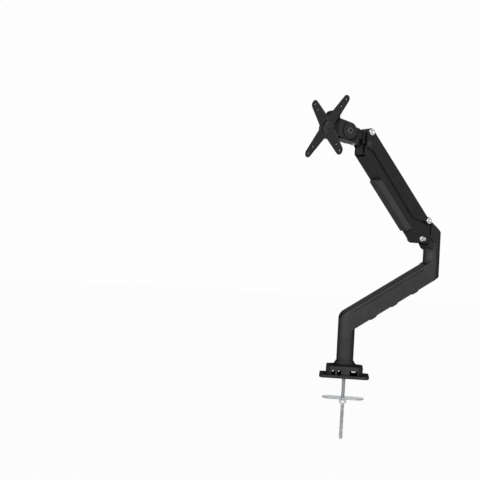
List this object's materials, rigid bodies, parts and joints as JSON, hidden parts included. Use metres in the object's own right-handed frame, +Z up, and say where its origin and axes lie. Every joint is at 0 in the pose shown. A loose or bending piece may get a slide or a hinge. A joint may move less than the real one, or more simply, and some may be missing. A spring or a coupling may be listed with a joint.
{
  "type": "monitor arm",
  "caption": "Gas-spring monitor arm on a grommet desk mount: cranked lower arm, parallel-link upper arm, tilting head and square mounting plate.",
  "frame": {"origin": "centre of the underside of the base, on the axis of the clamp rod, at the desk surface", "axes": "+Z up along the clamp rod, X along the width of the base, -Y the front of the base"},
  "size_m": [0.2895, 0.2501, 0.6848],
  "materials": {
    "black_coat": "fine matte powder coat",
    "satin_coat": "smooth satin coat",
    "black_plastic": "fine grain",
    "foam": "foam",
    "zinc": "zinc plated",
    "bright_screw": "bright",
    "steel": "turned",
    "black_steel": "black oxide",
    "nylon": "plain"
  },
  "bodies": {
    "desk_mount": {"base_casting": "black_coat", "base_pad": "foam", "clamp_rod": "zinc", "rod_nut": "zinc", "base_post": "black_coat", "base_spindle": "steel"},
    "clamp_plate": {"grommet_plate": "zinc", "clamp_washer": "zinc"},
    "clamp_nut": {"clamp_nut": "zinc"},
    "lower_arm": {"lower_arm": "black_coat", "lower_cover": "black_plastic", "lower_cover_screws": "black_steel", "hub_bush": "nylon", "elbow_bush": "nylon"},
    "elbow": {"elbow_bracket": "black_coat", "elbow_spindle": "steel", "elbow_pivot_pin": "steel", "elbow_pivot_inner_washers": "nylon", "elbow_pivot_screw_washers": "black_steel", "elbow_pivot_screws": "bright_screw"},
    "tension_slider": {"tension_slider": "black_steel", "anchor_pin": "steel"},
    "tension_screw": {"tension_screw": "black_steel"},
    "beam": {"beam_casting": "black_coat", "beam_plugs": "black_plastic", "spring_mount_pin": "steel"},
    "link": {"link_bars": "black_steel", "link_shell": "black_coat", "link_cover": "black_plastic", "link_cover_screws": "black_steel", "link_pin": "bright_screw", "link_end_pin": "steel", "shell_screw_washers": "black_steel", "shell_screws": "bright_screw"},
    "spring_rod": {"spring_rod": "steel"},
    "spring_cylinder": {"spring_cylinder": "black_steel"},
    "head": {"head_bracket": "satin_coat", "head_pivot_pin": "steel", "head_pivot_inner_washers": "nylon", "head_pivot_screw_washers": "black_steel", "head_pivot_screws": "bright_screw", "swivel_bushes": "nylon"},
    "swivel_block": {"swivel_block": "satin_coat", "swivel_pin": "steel", "cable_hook": "black_plastic", "hook_screw": "zinc", "tilt_bolt": "black_steel", "tilt_nut": "zinc"},
    "tilt": {"tilt_bracket": "satin_coat", "friction_discs": "satin_coat", "rotation_hub": "satin_coat", "centre_screw": "black_steel", "centre_nut": "zinc", "retaining_washer": "black_steel"},
    "plate": {"turning_boss": "satin_coat", "mounting_plate": "black_coat", "plate_screws": "black_steel"}
  },
  "joints": [
    {"name": "clamp_slide", "type": "slide", "parent": "desk_mount", "child": "clamp_plate", "axis": [0, 0, 1], "range_m": [-0.044, 0.031]},
    {"name": "nut_spin", "type": "hinge", "parent": "clamp_plate", "child": "clamp_nut", "pos_m": [0, 0, -0.05], "axis": [0, 0, 1], "continuous": true},
    {"name": "base_swivel", "type": "hinge", "parent": "desk_mount", "child": "lower_arm", "pos_m": [0, 0, 0.0789], "axis": [0, 0, 1], "range_deg": [-180, 180]},
    {"name": "elbow_swivel", "type": "hinge", "parent": "lower_arm", "child": "elbow", "pos_m": [0.17091, 0.0687, 0.26645], "axis": [0, 0, 1], "range_deg": [-180, 180]},
    {"name": "arm_lift", "type": "hinge", "parent": "elbow", "child": "beam", "pos_m": [0.14646, 0.04932, 0.33165], "axis": [-0.6211, 0.7837, 0], "range_deg": [-75, 6]},
    {"name": "link_pivot", "type": "hinge", "parent": "elbow", "child": "link", "pos_m": [0.14136, 0.04529, 0.29285], "axis": [-0.6211, 0.7837, 0], "range_deg": [-75, 6]},
    {"name": "head_level", "type": "hinge", "parent": "beam", "child": "head", "pos_m": [0.01669, -0.05353, 0.4984], "axis": [-0.6211, 0.7837, 0], "range_deg": [-6, 75]},
    {"name": "tension_slide", "type": "slide", "parent": "elbow", "child": "tension_slider", "axis": [-0.1295, -0.1026, -0.9863], "range_m": [-0.0015, 0.0015]},
    {"name": "tension_screw_spin", "type": "hinge", "parent": "elbow", "child": "tension_screw", "pos_m": [0.1596, 0.05974, 0.32884], "axis": [-0.1295, -0.1026, -0.9863], "continuous": true},
    {"name": "spring_pivot", "type": "hinge", "parent": "tension_slider", "child": "spring_rod", "pos_m": [0.14361, 0.04707, 0.30995], "axis": [-0.6211, 0.7837, 0], "range_deg": [-75, 6]},
    {"name": "spring_slide", "type": "slide", "parent": "spring_rod", "child": "spring_cylinder", "axis": [-0.5415, -0.4292, 0.7229], "range_m": [-0.027, 0.0025]},
    {"name": "head_swivel", "type": "hinge", "parent": "head", "child": "swivel_block", "pos_m": [-0.00447, -0.0703, 0.4984], "axis": [0, 0, 1], "range_deg": [-45, 45]},
    {"name": "head_tilt", "type": "hinge", "parent": "swivel_block", "child": "tilt", "pos_m": [-0.02697, -0.08813, 0.495], "axis": [-0.6211, 0.7837, 0], "range_deg": [-46, 39]},
    {"name": "plate_rotation", "type": "hinge", "parent": "tilt", "child": "plate", "pos_m": [-0.05955, -0.11395, 0.49937], "axis": [-0.7794, -0.6177, 0.1045], "range_deg": [-180, 180]}
  ],
  "couplings": [
    {"joint": "link_pivot", "follows": "arm_lift", "ratio": 1},
    {"joint": "head_level", "follows": "arm_lift", "ratio": -1},
    {"joint": "spring_pivot", "follows": "arm_lift", "ratio": 0.9954},
    {"joint": "spring_slide", "follows": "arm_lift", "m_per_rad": 0.020478}
  ]
}
